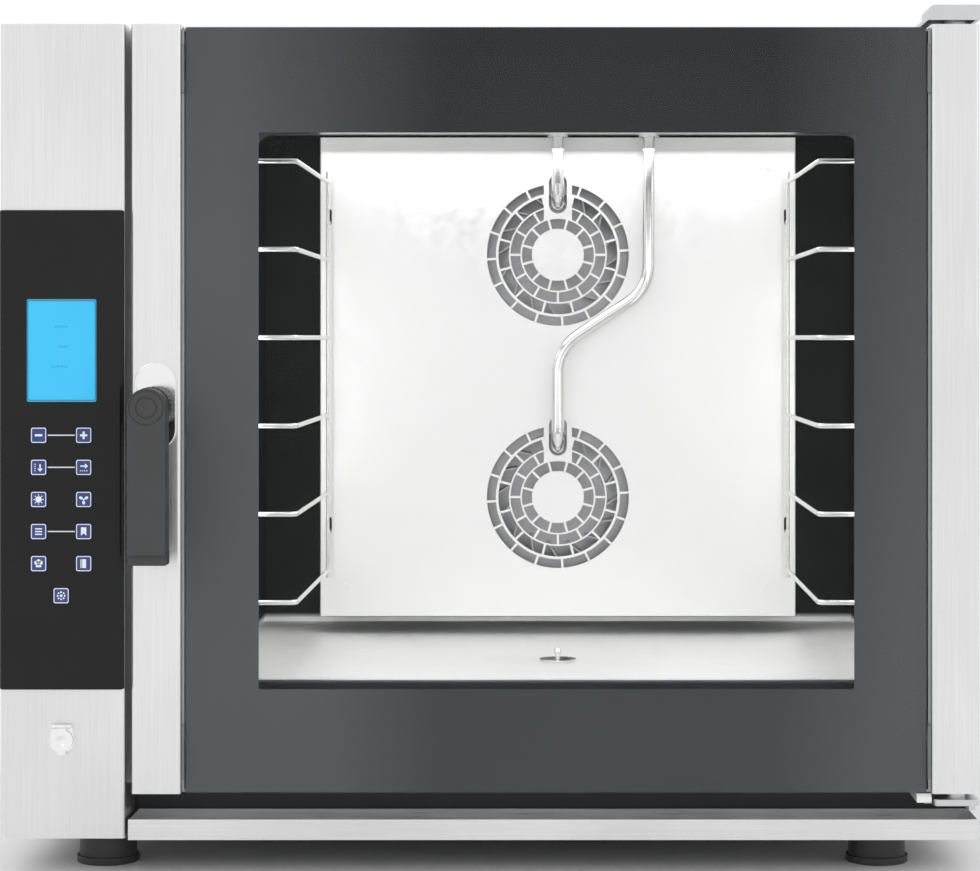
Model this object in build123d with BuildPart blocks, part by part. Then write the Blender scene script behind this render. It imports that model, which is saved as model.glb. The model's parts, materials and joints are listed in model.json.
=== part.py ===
from build123d import *
from math import cos, radians, sin
import os

# Combi steamer oven, six levels, door hinged on the right.
# Millimetres. X to the right of a person facing the door, Y to the back, Z up.
# The origin is at the bottom centre of the whole oven, on the floor.
# A "depth" is measured backwards from the front face of the door.

os.makedirs("parts", exist_ok=True)

# ---- driving dimensions: cabinet -------------------------------------------------------
overall_width = 935.0
door_front_y = -366.0
body_front = 60.0
body_back = 760.0
body_top = 817.7
body_bottom = 41.0
sheet = 1.5
side = overall_width / 2

foot_radius = 28.0
foot_rim_radius = 30.5
foot_height = 40.4
foot_x = 381.0
foot_depths = {"front": 100.0, "rear": 660.0}

# ---- driving dimensions: control column ------------------------------------------------
column_right = -348.3
column_x = (column_right - side) / 2
column_bottom = 40.5
panel_bottom = 183.0
panel_top = 640.0
panel_rise = 6.0
display_width = 66.8
display_bottom = 457.0
display_top = 555.3
key_size = 15.3
key_gap = 0.4
key_proud = 0.8
key_half_pitch = 21.45
key_row_top = 425.5
key_row_pitch = 30.54
probe_z = 134.5

# ---- driving dimensions: cavity --------------------------------------------------------
cavity_x = 64.4
cavity_half_width = 345.0
cavity_top = 750.0
cavity_rim = 184.0
cavity_rear = 590.0
cavity_wall = 2.0
baffle_depth = 496.0
baffle_half_width = 272.0
baffle_bottom = 200.0
fan_heights = {"upper": 613.0, "lower": 336.0}
fan_radius = 95.0
shaft_radius = 6.0
running_gap = 0.05
pipe_radius = 7.0
pipe_depth = 470.0
drain_depth = 324.0
drain_radius = 15.0

# ---- driving dimensions: tray racks ----------------------------------------------------
wire_radius = 2.5
upright_radius = 2.0
pin_radius = 1.8
rack_level_top = 694.4
rack_level_pitch = 88.0
rack_levels = 6
rack_inner = 260.8
rack_outer = 326.4
rack_front = 112.0
rack_rear = 471.0
rack_bottom = 246.0
rack_top = 706.0
rack_lift = 12.0
rack_hooks = (672.0, 276.0)
rack_pins = (650.0, 298.0)
rack_pin_end = 506.0
hook_reach = 15.0

# ---- driving dimensions: door ----------------------------------------------------------
door_bottom = 82.9
door_top = 817.7
door_thickness = 50.0
left_stile_x = (-342.6, -294.8)
right_stile_x = (421.3, 467.5)
glass_x = (-292.0, 417.9)
glass_top = 816.0
glass_thickness = 5.0
gasket_width = 12.0
gasket_height = 9.5
hinge_x = 447.0
hinge_depth = 22.0
hinge_pin_radius = 6.0
handle_x = -319.0
handle_z = 453.0
handle_reach = 58.0
spindle_radius = 6.0
strike_offset = 13.0


def y_at(depth):
    """Y of a point this far behind the door's front face."""
    return door_front_y + depth


def facing(depth):
    """A plane parallel to the door: local x is X, local y is Z, extrudes to the front."""
    return Plane.XZ.offset(-y_at(depth))


def level(height):
    """A horizontal plane: local x is X, local y is Y, extrudes upwards."""
    return Plane.XY.offset(height)


def patch(x_span, z_span, mode=Mode.ADD, radius=0.0):
    """A rectangle between two edges each way, inside a sketch."""
    width = x_span[1] - x_span[0]
    height = z_span[1] - z_span[0]
    with Locations(((x_span[0] + x_span[1]) / 2, (z_span[0] + z_span[1]) / 2)):
        if radius:
            RectangleRounded(width, height, radius, mode=mode)
        else:
            Rectangle(width, height, mode=mode)


def block(x_span, depth_span, z_span, mode=Mode.ADD):
    """A box between two faces each way, inside a part."""
    centre = (
        (x_span[0] + x_span[1]) / 2,
        y_at((depth_span[0] + depth_span[1]) / 2),
        (z_span[0] + z_span[1]) / 2,
    )
    with Locations(centre):
        Box(
            x_span[1] - x_span[0],
            depth_span[1] - depth_span[0],
            z_span[1] - z_span[0],
            mode=mode,
        )


def barrel(x, z, radius, depth_span, mode=Mode.ADD):
    """A cylinder along Y between two depths, inside a part."""
    with BuildSketch(facing(depth_span[1])) as section:
        with Locations((x, z)):
            Circle(radius)
    extrude(section.sketch, amount=depth_span[1] - depth_span[0], mode=mode)


def post(x, depth, radius, z_span, mode=Mode.ADD):
    """A cylinder along Z between two heights, inside a part."""
    with BuildSketch(level(z_span[0])) as section:
        with Locations((x, y_at(depth))):
            Circle(radius)
    extrude(section.sketch, amount=z_span[1] - z_span[0], mode=mode)


def save(builder, name):
    """Label the finished piece and write it as its own node."""
    builder.part.label = name
    export_step(builder.part, f"parts/{name}.step")


# ======================================================================================
# Cabinet
# ======================================================================================

panel_z = (body_bottom, body_top - sheet)
panel_depth = (body_front, body_back - sheet)
flange = 12.0

# ---- base chassis: a folded tray on the feet, with a dark front wall under the door ----
base_floor = 2.5
base_front = 75.0
base_wall_top = 84.0
base_side_top = 66.0
base_x = (-side + sheet, side - sheet)
with BuildPart() as base_chassis:
    block(base_x, (base_front, body_back - sheet), (body_bottom, body_bottom + base_floor))
    block(base_x, (base_front, base_front + base_floor), (body_bottom, base_wall_top))
    block(base_x, (body_back - 2 * sheet, body_back - sheet), (body_bottom, base_side_top))
    for edge in (-1, 1):
        inner = edge * (side - 2 * sheet)
        outer = edge * (side - sheet)
        span = (min(inner, outer), max(inner, outer))
        block(span, (base_front, body_back - sheet), (body_bottom, base_side_top))
    for foot_depth in foot_depths.values():
        for foot_side in (-foot_x, foot_x):
            post(foot_side, foot_depth, 14.0, (body_bottom + base_floor, body_bottom + 14.0))
            post(
                foot_side,
                foot_depth,
                6.0 + running_gap,
                (body_bottom, body_bottom + 14.0),
                Mode.SUBTRACT,
            )
save(base_chassis, "base_chassis")


# ---- side panels: flanged sheets, with louvres low down at the back of the left one ----
def side_panel(name, edge, louvred):
    """One side of the cabinet, its flanges turned inwards."""
    outer = edge * side
    inner = edge * (side - sheet)
    turned = edge * (side - sheet - flange)
    skin = (min(outer, inner), max(outer, inner))
    fold = (min(inner, turned), max(inner, turned))
    with BuildPart() as panel:
        block(skin, panel_depth, panel_z)
        block(fold, (panel_depth[0] + 3.0, panel_depth[0] + 3.0 + sheet), (100.0, 800.0))
        block(fold, (panel_depth[1] - 2 * sheet, panel_depth[1] - sheet), (100.0, 800.0))
        if louvred:
            with BuildSketch(Plane.YZ.offset(outer - edge * 3.0)):
                with Locations((y_at(560.0), 200.0)):
                    with GridLocations(95.0, 16.0, 3, 9):
                        SlotOverall(70.0, 5.0)
            extrude(amount=edge * 6.0, mode=Mode.SUBTRACT)
    save(panel, name)


side_panel("left_side_panel", -1, True)
side_panel("right_side_panel", 1, False)

# ---- top cover: a sheet with turned-down edges and a hole for the vent -----------------
vent_x = 300.0
vent_depth = 545.0
vent_radius = 25.0
with BuildPart() as top_cover:
    block((-side, side), (body_front, body_back), (body_top - sheet, body_top))
    for fold_depth in (body_front + 14.0, body_back - 20.0):
        block(
            (-side + 20.0, side - 20.0),
            (fold_depth, fold_depth + sheet),
            (body_top - flange, body_top - sheet),
        )
    post(vent_x, vent_depth, vent_radius + 0.5, (body_top - 5.0, body_top + 5.0), Mode.SUBTRACT)
save(top_cover, "top_cover")

# ---- rear panel: a sheet with louvres and holes for the water, drain and cable ---------
water_x = -385.0
water_z = 270.0
water_pitch = 52.0
water_radius = 13.2
gland_x = -385.0
gland_z = 150.0
gland_thread = 12.5
drain_radius_outside = 19.5
drain_stub_radius = 20.0
drain_run_z = 112.0
with BuildPart() as rear_panel:
    block(
        (-side + sheet, side - sheet),
        (body_back - sheet, body_back),
        (body_bottom + 4.0, body_top - sheet),
    )
    with BuildSketch(facing(body_back + 5.0)):
        with Locations((water_x, water_z)):
            with GridLocations(water_pitch, 1.0, 2, 1):
                Circle(water_radius + 0.8)
        with Locations((gland_x, gland_z)):
            Circle(gland_thread + 0.3)
        with Locations((cavity_x, drain_run_z)):
            Circle(drain_radius_outside + 0.5)
        with Locations((-300.0, 640.0), (300.0, 640.0)):
            with GridLocations(1.0, 14.0, 1, 10):
                SlotOverall(110.0, 5.0)
    extrude(amount=10.0, mode=Mode.SUBTRACT)
save(rear_panel, "rear_panel")

# ---- mouth frame: the front face of the cabinet round the cavity -----------------------
mouth_x = (cavity_x - cavity_half_width, cavity_x + cavity_half_width)
mouth_z = (cavity_rim, cavity_top)
with BuildPart() as mouth_frame:
    with BuildSketch(facing(body_front + cavity_wall)):
        patch((column_right - sheet, side - sheet), (base_wall_top, body_top - sheet))
        patch(mouth_x, mouth_z, Mode.SUBTRACT)
    extrude(amount=cavity_wall)
    block(
        (column_right - sheet, side - sheet),
        (body_front + cavity_wall, base_front + base_floor),
        (base_wall_top, base_wall_top + cavity_wall),
    )
save(mouth_frame, "mouth_frame")

# ---- door gasket: a soft ring round the mouth ------------------------------------------
with BuildPart() as door_gasket:
    with BuildSketch(facing(body_front)):
        patch(
            (mouth_x[0] - gasket_width, mouth_x[1] + gasket_width),
            (mouth_z[0] - gasket_width, mouth_z[1] + gasket_width),
            radius=16.0,
        )
        patch(mouth_x, mouth_z, Mode.SUBTRACT, radius=6.0)
    extrude(amount=gasket_height)
    fillet(door_gasket.faces().sort_by(Axis.Y)[0].edges(), 2.5)
save(door_gasket, "door_gasket")

# ---- drip gutter: an open channel under the door ---------------------------------------
gutter_x = (-345.4, 466.6)
gutter_z = (39.0, 58.6)
gutter_back = 58.0
with BuildPart() as drip_gutter:
    with BuildSketch(facing(gutter_back)):
        patch(gutter_x, gutter_z)
    extrude(amount=gutter_back)
    lower_corners = drip_gutter.edges().filter_by(Axis.Y).group_by(Axis.Z)[0]
    fillet(lower_corners.sort_by(Axis.X)[-1], 7.0)
    block(
        (gutter_x[0] + sheet, gutter_x[1] - sheet),
        (sheet, gutter_back - sheet),
        (gutter_z[0] + 3.0, gutter_z[1] + 5.0),
        Mode.SUBTRACT,
    )
    for bracket_x in (-330.0, 440.0):
        block((bracket_x, bracket_x + 12.0), (gutter_back, base_front), (50.0, 53.0))
save(drip_gutter, "drip_gutter")


# ======================================================================================
# Door hinges, latch strike and rest pad, all fixed to the cabinet
# ======================================================================================

# ---- top hinge bracket: a capped block over the door, bolted back to the cabinet top ---
bracket_x = (418.0, 467.5)
bracket_z = (821.5, 836.0)
bracket_cap_back = 44.0
bracket_plate_back = 112.0
bracket_plate_top = 825.5
bracket_wall = 4.0
bush_radius = 11.0
bush_length = 26.0
bolt_across = 4.6
with BuildPart() as top_hinge_bracket:
    with BuildSketch(facing(bracket_cap_back)):
        patch(bracket_x, bracket_z)
    extrude(amount=bracket_cap_back + 1.0)
    upper_corners = top_hinge_bracket.edges().filter_by(Axis.Y).group_by(Axis.Z)[-1]
    fillet(upper_corners.sort_by(Axis.X)[0], 7.0)
    block(
        (bracket_x[0] + bracket_wall, bracket_x[1] - bracket_wall),
        (3.0, bracket_cap_back - bracket_wall),
        (bracket_z[0] - 1.0, bracket_z[1] - bracket_wall),
        Mode.SUBTRACT,
    )
    block(bracket_x, (bracket_cap_back - 2.0, bracket_plate_back), (bracket_z[0], bracket_plate_top))
    block(bracket_x, (body_front + 4.0, bracket_plate_back), (body_top, bracket_z[0]))
    post(hinge_x, hinge_depth, hinge_pin_radius, (door_top - 24.0, bracket_z[1] - 2.0))
    post(hinge_x, hinge_depth, 10.0, (door_top + 1.0, bracket_z[1] - 2.0))
    with BuildSketch(level(bracket_plate_top)):
        with Locations((hinge_x, y_at(76.0)), (hinge_x, y_at(98.0))):
            RegularPolygon(bolt_across, 6)
    extrude(amount=3.0)
save(top_hinge_bracket, "top_hinge_bracket")

# ---- bottom hinge bracket: an angle on the chassis front wall, its pin pointing up -----
lower_bracket_x = (424.0, 467.5)
lower_bracket_z = (71.0, 77.0)
with BuildPart() as bottom_hinge_bracket:
    block(lower_bracket_x, (2.0, body_front - 1.0), lower_bracket_z)
    block((lower_bracket_x[0], base_x[1]), (body_front - 2.0, base_front), lower_bracket_z)
    block((lower_bracket_x[0], base_x[1]), (base_front - 5.0, base_front), (61.0, 83.0))
    fillet(bottom_hinge_bracket.edges().filter_by(Axis.Z).group_by(Axis.Y)[0], 5.0)
    post(hinge_x, hinge_depth, hinge_pin_radius, (lower_bracket_z[1], door_bottom + 22.0))
    post(hinge_x, hinge_depth, 9.5, (lower_bracket_z[1], door_bottom - 1.0))
    with BuildSketch(level(66.0)):
        with Locations((hinge_x + 13.0, y_at(9.0)), (hinge_x - 14.0, y_at(50.0))):
            RegularPolygon(bolt_across, 6)
    extrude(amount=5.0)
save(bottom_hinge_bracket, "bottom_hinge_bracket")

# ---- door rest pad: a nylon ramp that carries the closed door ---------------------------
with BuildPart() as door_rest_pad:
    block((408.0, 422.0), (4.0, base_front), (74.0, 82.3))
    chamfer(door_rest_pad.edges().filter_by(Axis.X).group_by(Axis.Z)[-1].sort_by(Axis.Y)[0], 3.0)
save(door_rest_pad, "door_rest_pad")

# ---- strike: a mushroom pin on a plate, which enters the latch cam's keyhole -----------
strike_z = handle_z - strike_offset
strike_neck = 2.5
strike_head = 4.3
cam_depth = (33.0, 37.0)
with BuildPart() as strike_plate:
    with BuildSketch(facing(body_front)):
        patch((handle_x - 16.0, handle_x + 8.0), (strike_z - 30.0, strike_z + 30.0), radius=5.0)
    extrude(amount=3.0)
    barrel(handle_x, strike_z, 7.0, (51.5, 57.0))
    barrel(handle_x, strike_z, strike_neck, (cam_depth[0] - 2.0, 51.5))
    barrel(handle_x, strike_z, strike_head, (cam_depth[0] - 5.5, cam_depth[0] - 1.0))
    fillet(strike_plate.faces().sort_by(Axis.Y)[0].edges(), 1.5)
save(strike_plate, "strike_plate")


# ======================================================================================
# Control column
# ======================================================================================

# ---- fascia: a folded stainless channel down the left of the front ---------------------
fascia_x = (-side, column_right)
window_margin = 6.0
key_rows = 6
key_bottom = key_row_top - (key_rows - 1) * key_row_pitch - key_size
window_x = (column_x - 39.0, column_x + 39.0)
window_z = (key_bottom, display_top + window_margin)
socket_radius = 8.0
with BuildPart() as column_fascia:
    with BuildSketch(facing(body_front)):
        patch(fascia_x, (column_bottom, body_top))
    extrude(amount=body_front)
    upright = column_fascia.edges().filter_by(Axis.Z).group_by(Axis.Y)[0]
    fillet(upright, 4.0)
    block(
        (fascia_x[0] + sheet, fascia_x[1] - sheet),
        (sheet, body_front + 5.0),
        (column_bottom + sheet, body_top - sheet),
        Mode.SUBTRACT,
    )
    with BuildSketch(facing(sheet + 1.0)):
        patch(window_x, window_z)
        with Locations((column_x, probe_z)):
            Circle(socket_radius + 0.3)
    extrude(amount=5.0, mode=Mode.SUBTRACT)
save(column_fascia, "column_fascia")


def key_position(column, row):
    """Centre of a key: column -1 is left, 1 is right, 0 is the middle."""
    return (column_x + column * key_half_pitch, key_row_top - row * key_row_pitch)


keys = {
    "key_minus": key_position(-1, 0),
    "key_plus": key_position(1, 0),
    "key_step": key_position(-1, 1),
    "key_select": key_position(1, 1),
    "key_temperature": key_position(-1, 2),
    "key_fan": key_position(1, 2),
    "key_program": key_position(-1, 3),
    "key_memory": key_position(1, 3),
    "key_steam": key_position(-1, 4),
    "key_door": key_position(1, 4),
    "key_start_stop": key_position(0, 5),
}

# ---- control panel housing: a raised black moulding with the display and key openings --
display_x = (column_x - display_width / 2, column_x + display_width / 2)
with BuildPart() as control_panel_housing:
    with BuildSketch(facing(0.0)):
        patch((-side, column_right - 0.6), (panel_bottom, panel_top))
    extrude(amount=panel_rise)
    front_edges = control_panel_housing.faces().sort_by(Axis.Y)[0].edges()
    fillet(front_edges.filter_by(Axis.Z), 4.5)
    fillet(control_panel_housing.edges().filter_by(Axis.X).group_by(Axis.Y)[0], 2.0)
    with BuildSketch(facing(1.0)):
        patch(display_x, (display_bottom, display_top), radius=2.0)
        with Locations(*keys.values()):
            RectangleRounded(key_size + 2 * key_gap, key_size + 2 * key_gap, 2.4)
    extrude(amount=panel_rise + 2.0, mode=Mode.SUBTRACT)
save(control_panel_housing, "control_panel_housing")

# ---- display module: a lens in front of a shallow case ---------------------------------
with BuildPart() as display_module:
    with BuildSketch(facing(0.0)):
        patch(
            (display_x[0] + 0.3, display_x[1] - 0.3),
            (display_bottom + 0.3, display_top - 0.3),
            radius=1.7,
        )
    extrude(amount=panel_rise - 1.2)
    block((display_x[0] + 0.3, display_x[1] - 0.3), (0.0, 11.0), (display_bottom, display_top))
    for tab_z in (display_bottom - 3.0, display_top - 5.0):
        block((window_x[0] + 1.0, window_x[1] - 1.0), (6.0, 8.0), (tab_z, tab_z + 8.0))
save(display_module, "display_module")

# ---- keys: a rounded cap with a short stem that presses the keypad board ---------------
stem_end = 3.0
for name, centre in keys.items():
    with BuildPart() as key:
        with BuildSketch(facing(-0.4)):
            with Locations(centre):
                RectangleRounded(key_size, key_size, 2.2)
        extrude(amount=panel_rise + key_proud - 0.4)
        fillet(key.faces().sort_by(Axis.Y)[0].edges(), 0.6)
        barrel(centre[0], centre[1], 2.4, (-0.4, stem_end))
    save(key, name)

# ---- circuit boards: the keypad board behind the keys, the power board in the column ---
board = 1.6
keypad_depth = 4.2
power_z = (300.0, 700.0)
power_depth = (130.0, 430.0)
with BuildPart() as circuit_boards:
    block(
        (window_x[0] + 1.0, window_x[1] - 1.0),
        (keypad_depth, keypad_depth + board),
        (window_z[0] + 1.0, display_bottom - 4.0),
    )
    for centre in keys.values():
        barrel(centre[0], centre[1], 3.0, (keypad_depth + board, keypad_depth + 5.0))
    block((-455.0, -455.0 + board), power_depth, power_z)
    block((-455.0 + board, -415.0), (150.0, 205.0), (610.0, 680.0))
    block((-455.0 + board, -430.0), (230.0, 300.0), (620.0, 680.0))
    for relay in range(5):
        relay_start = 150.0 + relay * 34.0
        block((-455.0 + board, -432.0), (relay_start, relay_start + 26.0), (320.0, 348.0))
    block((-455.0 + board, -440.0), (150.0, 400.0), (390.0, 402.0))
    with BuildSketch(Plane.YZ.offset(-455.0 + board)):
        with Locations((y_at(340.0), 650.0)):
            with GridLocations(30.0, 34.0, 3, 2):
                Circle(9.0)
    extrude(amount=24.0)
save(circuit_boards, "circuit_boards")

# ---- probe socket: a chromed plate with a jack bore and the cap's hinge above it -------
probe_bore = 3.2
socket_plate = 2.5
probe_hinge_z = probe_z + 13.6
probe_hinge_depth = -5.2
probe_pin = 1.0
knuckle = 2.3
with BuildPart() as probe_socket:
    with BuildSketch(facing(0.0)):
        with BuildLine():
            Polyline(
                (column_x - 9.0, probe_z + 15.0),
                (column_x + 9.0, probe_z + 15.0),
                (column_x + 12.0, probe_z),
            )
            RadiusArc((column_x + 12.0, probe_z), (column_x - 12.0, probe_z), 12.0)
            Line((column_x - 12.0, probe_z), (column_x - 9.0, probe_z + 15.0))
        make_face()
    extrude(amount=socket_plate)
    barrel(column_x, probe_z, socket_radius, (0.0, 22.0))
    barrel(column_x, probe_z, probe_bore, (-5.0, 18.0), Mode.SUBTRACT)
    for knuckle_x in (-9.0, 5.0):
        with BuildSketch(Plane.YZ.offset(column_x + knuckle_x)):
            with Locations((y_at(probe_hinge_depth), probe_hinge_z)):
                Circle(knuckle)
            with Locations((y_at(probe_hinge_depth / 2), probe_hinge_z)):
                Rectangle(-probe_hinge_depth, 2.6)
        extrude(amount=4.0)
    with BuildSketch(Plane.YZ.offset(column_x - 9.0)):
        with Locations((y_at(probe_hinge_depth), probe_hinge_z)):
            Circle(probe_pin)
    extrude(amount=18.0)
save(probe_socket, "probe_socket")

# ---- probe cap: a dished round flap with a finger lip ----------------------------------
cap_depth = (-6.6, -3.2)
with BuildPart() as probe_cap:
    barrel(column_x, probe_z, 10.6, cap_depth)
    with BuildSketch(facing(cap_depth[1])):
        patch((column_x - 4.5, column_x + 4.5), (probe_z + 6.0, probe_hinge_z))
        patch((column_x - 4.0, column_x + 4.0), (probe_z - 13.5, probe_z - 8.0), radius=1.5)
    extrude(amount=cap_depth[1] - cap_depth[0])
    with BuildSketch(Plane.YZ.offset(column_x - 4.6)):
        with Locations((y_at(probe_hinge_depth), probe_hinge_z)):
            Circle(knuckle)
    extrude(amount=9.2)
    with BuildSketch(Plane.YZ.offset(column_x - 4.6)):
        with Locations((y_at(probe_hinge_depth), probe_hinge_z)):
            Circle(probe_pin + running_gap)
    extrude(amount=9.2, mode=Mode.SUBTRACT)
    with Locations((column_x, y_at(cap_depth[0] - 9.0), probe_z)):
        Sphere(10.2, mode=Mode.SUBTRACT)
save(probe_cap, "probe_cap")


# ======================================================================================
# Cavity
# ======================================================================================

cavity_outer_x = (mouth_x[0] - cavity_wall, mouth_x[1] + cavity_wall)
shell_front = body_front + cavity_wall
shell_back = cavity_rear + cavity_wall
shell_bottom = cavity_rim - 2.0
cavity_corner = 18.0
stud_radius = 5.0
stud_reach = 13.0
lower_pipe_x = 167.4
heater_radius = 115.0
heater_tube = 4.0
heater_tail = 3.2
heater_depths = (534.0, 547.0, 560.0)
terminal_angles = (162.0, 198.0)


def terminal_points(fan_z):
    """Where a heating ring's two tails pass through the rear wall."""
    return [
        (cavity_x + heater_radius * cos(radians(a)), fan_z + heater_radius * sin(radians(a)))
        for a in terminal_angles
    ]


# ---- cavity shell: ceiling, two sides and rear wall, with the studs for the racks ------
with BuildPart() as cavity_shell:
    with BuildSketch(facing(shell_back)):
        patch(cavity_outer_x, (shell_bottom, cavity_top + cavity_wall))
    extrude(amount=shell_back - shell_front)
    top_corners = cavity_shell.edges().filter_by(Axis.Y).group_by(Axis.Z)[-1]
    fillet(top_corners, cavity_corner + cavity_wall)
    with BuildSketch(facing(cavity_rear)) as hollow:
        patch(mouth_x, (shell_bottom - 5.0, cavity_top))
        fillet(hollow.vertices().group_by(Axis.Y)[-1], cavity_corner)
    extrude(amount=cavity_rear, mode=Mode.SUBTRACT)
    for fan_z in fan_heights.values():
        barrel(cavity_x, fan_z, 10.0, (cavity_rear - 5.0, shell_back + 5.0), Mode.SUBTRACT)
        for x, z in terminal_points(fan_z):
            barrel(x, z, heater_tail + 0.2, (cavity_rear - 5.0, shell_back + 5.0), Mode.SUBTRACT)
    for pipe_x in (cavity_x, lower_pipe_x):
        post(
            pipe_x,
            pipe_depth,
            pipe_radius + 0.1,
            (cavity_top - 5.0, cavity_top + 5.0),
            Mode.SUBTRACT,
        )
    post(vent_x, vent_depth, vent_radius - 2.0, (cavity_top - 5.0, cavity_top + 5.0), Mode.SUBTRACT)
    for edge in (-1, 1):
        wall_x = cavity_x + edge * (cavity_half_width + cavity_wall / 2)
        for hook_z in rack_hooks:
            with BuildSketch(Plane.YZ.offset(wall_x)):
                with Locations((y_at(rack_front), hook_z - wire_radius - stud_radius - 0.3)):
                    Circle(stud_radius)
            extrude(amount=-edge * (stud_reach + cavity_wall / 2))
save(cavity_shell, "cavity_shell")

# ---- cavity floor: a shallow basin that falls to a drain sump in the middle ------------
basin_length = cavity_rear - shell_front
basin_width = 2 * cavity_half_width
basin_centre = (shell_front + cavity_rear) / 2
basin_fall = 14.0
basin_inset = 10.0
sump_bottom = 146.0
sump_wall = 2.0
with BuildPart() as cavity_floor:
    with BuildSketch(level(cavity_rim - cavity_wall)):
        with Locations((cavity_x, y_at(basin_centre))):
            Rectangle(basin_width, basin_length)
    extrude(amount=cavity_wall)
    with BuildSketch(level(cavity_rim - cavity_wall)):
        with Locations((cavity_x, y_at(basin_centre))):
            RectangleRounded(basin_width - basin_inset, basin_length - basin_inset, 60.0)
    with BuildSketch(level(cavity_rim - cavity_wall - basin_fall)):
        with Locations((cavity_x, y_at(drain_depth))):
            Circle(30.0)
    loft()
    with BuildSketch(level(cavity_rim)):
        with Locations((cavity_x, y_at(basin_centre))):
            RectangleRounded(basin_width - basin_inset, basin_length - basin_inset, 60.0)
    with BuildSketch(level(cavity_rim - basin_fall)):
        with Locations((cavity_x, y_at(drain_depth))):
            Circle(30.0)
    loft(mode=Mode.SUBTRACT)
    dish_bottom = cavity_rim - basin_fall
    post(cavity_x, drain_depth, drain_radius + sump_wall, (sump_bottom, dish_bottom - 1.0))
    post(cavity_x, drain_depth, drain_radius, (sump_bottom - 5.0, dish_bottom + 5.0), Mode.SUBTRACT)
save(cavity_floor, "cavity_floor")

# ---- fan baffle: a folded steel back wall with a slotted grille over each fan ----------
baffle_x = (cavity_x - baffle_half_width, cavity_x + baffle_half_width)
baffle_fold = 18.0
baffle_top = cavity_top - 3.0
grille_web = 2.5
grille_rings = (
    (29.7, 41.2, 12, 0.0),
    (42.9, 54.3, 12, 15.0),
    (56.0, 68.0, 12, 0.0),
    (70.9, 81.2, 16, 11.25),
)
pipe_slot_rise = 69.6
pipe_slot_length = 44.6
pipe_slot_width = 20.6
with BuildPart() as fan_baffle:
    with BuildSketch(facing(baffle_depth + cavity_wall)):
        patch(baffle_x, (baffle_bottom, baffle_top))
    extrude(amount=cavity_wall)
    for edge in (0, 1):
        fold_x = baffle_x[edge] - edge * cavity_wall
        block(
            (fold_x, fold_x + cavity_wall),
            (baffle_depth, baffle_depth + baffle_fold),
            (baffle_bottom, baffle_top),
        )
    fillet(fan_baffle.edges().filter_by(Axis.Z).group_by(Axis.Y)[0], 1.8)
    for fan_z in fan_heights.values():
        for inner, outer, count, phase in grille_rings:
            with BuildSketch(facing(baffle_depth + 5.0)):
                with Locations((cavity_x, fan_z)):
                    Circle(outer)
                    Circle(inner, mode=Mode.SUBTRACT)
                    if inner > 42.0:
                        with Locations((0.0, inner)):
                            Rectangle(32.0, 60.0, mode=Mode.SUBTRACT)
                    with PolarLocations(0.0, count, 15.0 + phase):
                        Rectangle(
                            2 * outer,
                            grille_web,
                            align=(Align.MIN, Align.CENTER),
                            mode=Mode.SUBTRACT,
                        )
            extrude(amount=10.0, mode=Mode.SUBTRACT)
        with BuildSketch(facing(baffle_depth + 5.0)):
            with Locations((cavity_x, fan_z + pipe_slot_rise)):
                SlotOverall(pipe_slot_length, pipe_slot_width, rotation=90.0)
        extrude(amount=10.0, mode=Mode.SUBTRACT)
    with BuildSketch(facing(baffle_depth + 5.0)):
        for edge in (-1, 1):
            for pin_z in rack_pins:
                with Locations((cavity_x + edge * rack_inner, pin_z + rack_lift / 2 + 0.3)):
                    SlotOverall(rack_lift + 2 * pin_radius + 2.0, 2 * pin_radius + 1.0, rotation=90.0)
    extrude(amount=10.0, mode=Mode.SUBTRACT)
    for standoff_x in (baffle_x[0] + 30.0, baffle_x[1] - 30.0):
        for standoff_z in (baffle_bottom + 30.0, baffle_top - 30.0):
            barrel(standoff_x, standoff_z, 6.0, (baffle_depth + 1.0, cavity_rear))
            barrel(standoff_x, standoff_z, 7.0, (baffle_depth - 3.0, baffle_depth + 1.0))
save(fan_baffle, "fan_baffle")

# ---- insulation: a mineral-wool blanket over the top, sides and rear of the shell ------
blanket = 34.0
blanket_bottom = 136.0
blanket_back = shell_back + 30.0
with BuildPart() as insulation:
    block(
        (cavity_outer_x[0] - blanket, cavity_outer_x[1] + blanket),
        (shell_front + 0.5, blanket_back),
        (blanket_bottom, cavity_top + blanket),
    )
    block(
        (cavity_outer_x[0] - 0.3, cavity_outer_x[1] + 0.3),
        (shell_front - 5.0, shell_back + 0.3),
        (blanket_bottom - 5.0, cavity_top + cavity_wall + 0.3),
        Mode.SUBTRACT,
    )
    for fan_z in fan_heights.values():
        barrel(cavity_x, fan_z, 14.0, (shell_back - 5.0, blanket_back + 5.0), Mode.SUBTRACT)
        for x, z in terminal_points(fan_z):
            barrel(x, z, heater_tail + 1.0, (shell_back - 5.0, blanket_back + 5.0), Mode.SUBTRACT)
    for pipe_x in (cavity_x, lower_pipe_x):
        post(pipe_x, pipe_depth, pipe_radius + 1.0, (cavity_top, body_top), Mode.SUBTRACT)
    post(vent_x, vent_depth, 33.0, (cavity_top, body_top), Mode.SUBTRACT)
save(insulation, "insulation")

# ---- fan motors: a drum with cooling ribs and a square mounting flange -----------------
motor_front = blanket_back + 0.5
with BuildPart() as fan_motors:
    for fan_z in fan_heights.values():
        with BuildSketch(facing(motor_front + 4.0)):
            with Locations((cavity_x, fan_z)):
                RectangleRounded(130.0, 130.0, 12.0)
        extrude(amount=4.0)
        barrel(cavity_x, fan_z, 50.0, (motor_front + 4.0, motor_front + 100.0))
        for rib in range(8):
            rib_depth = motor_front + 12.0 + rib * 9.0
            barrel(cavity_x, fan_z, 56.0, (rib_depth, rib_depth + 3.0))
        barrel(
            cavity_x,
            fan_z,
            shaft_radius + running_gap,
            (motor_front - 5.0, motor_front + 70.0),
            Mode.SUBTRACT,
        )
save(fan_motors, "fan_motors")


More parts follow.
